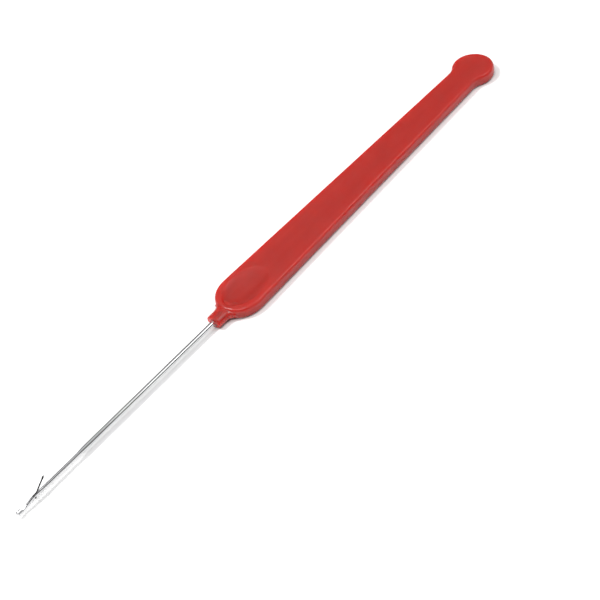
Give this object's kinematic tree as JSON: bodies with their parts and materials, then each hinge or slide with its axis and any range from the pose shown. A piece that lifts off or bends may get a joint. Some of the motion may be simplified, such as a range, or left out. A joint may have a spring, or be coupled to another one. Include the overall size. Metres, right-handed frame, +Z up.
{
  "type": "latch hook needle threader",
  "caption": "Flat plastic handle with a thumb hollow and a disc-shaped end, holding a thin stepped steel needle whose hooked tip is closed by a small pivoting latch.",
  "frame": {"origin": "on the plane of the handle's flat underside, below the middle of the tool's bounding box", "axes": "+X along the tool from the hook towards the disc-shaped end of the handle, +Z up out of the face with the thumb hollow, +Y to the left seen from the hook looking to the handle"},
  "size_m": [0.165, 0.0118, 0.0044],
  "materials": {
    "handle": "glossy red moulding",
    "needle": "bright plated steel wire",
    "latch": "darker steel blade",
    "latch_rivet": "steel pin with small domed heads"
  },
  "bodies": {
    "tool": {"handle": "handle", "needle": "needle", "latch_rivet": "latch_rivet"},
    "latch": {"latch": "latch"}
  },
  "joints": [
    {"name": "latch_hinge", "type": "hinge", "parent": "tool", "child": "latch", "pos_m": [-0.07747, 0, 0.00138], "axis": [0, 1, 0], "range_deg": [-129, 27]}
  ]
}
